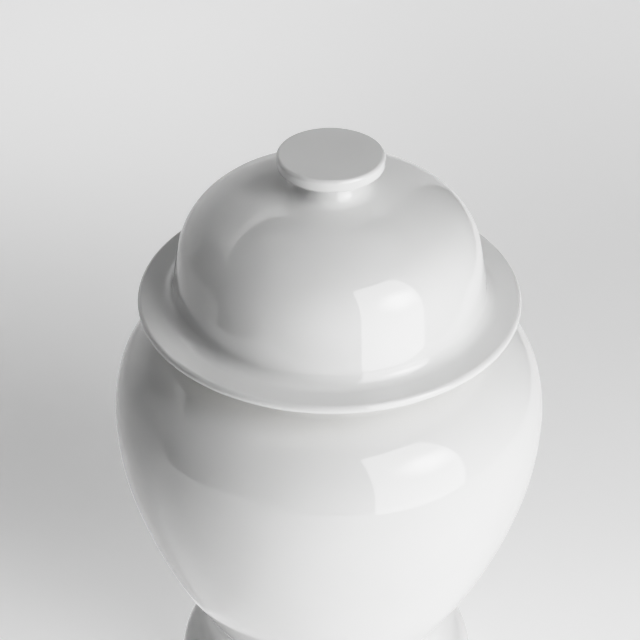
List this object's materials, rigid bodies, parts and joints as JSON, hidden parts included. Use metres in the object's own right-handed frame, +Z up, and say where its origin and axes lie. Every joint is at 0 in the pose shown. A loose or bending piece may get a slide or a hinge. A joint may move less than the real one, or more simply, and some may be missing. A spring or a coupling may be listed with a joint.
{
  "type": "lidded temple jar",
  "caption": "Glossy white porcelain temple jar with a round shoulder, tapered body and flared foot, and a domed, brimmed lid with a flat disc knob that lifts off.",
  "frame": {"origin": "centre of the foot's resting plane, on the jar's axis", "axes": "+Z up along the axis of the jar and the lid; the form is round, so +X and +Y are any two square directions"},
  "size_m": [0.232, 0.232, 0.354],
  "materials": {
    "glaze": "glossy clear glaze over white porcelain",
    "biscuit": "unglazed matt porcelain"
  },
  "bodies": {
    "jar": {"foot": "glaze", "jar_floor": "glaze", "lower_body": "glaze", "shoulder": "glaze", "mouth_collar": "glaze"},
    "lid": {"lid_dome": "glaze", "lid_brim": "glaze", "lid_locating_ring": "biscuit", "lid_knob": "glaze"}
  },
  "joints": [
    {"name": "lid_lift", "type": "slide", "parent": "jar", "child": "lid", "axis": [0, 0, 1], "range_m": [0, 0.15]}
  ]
}
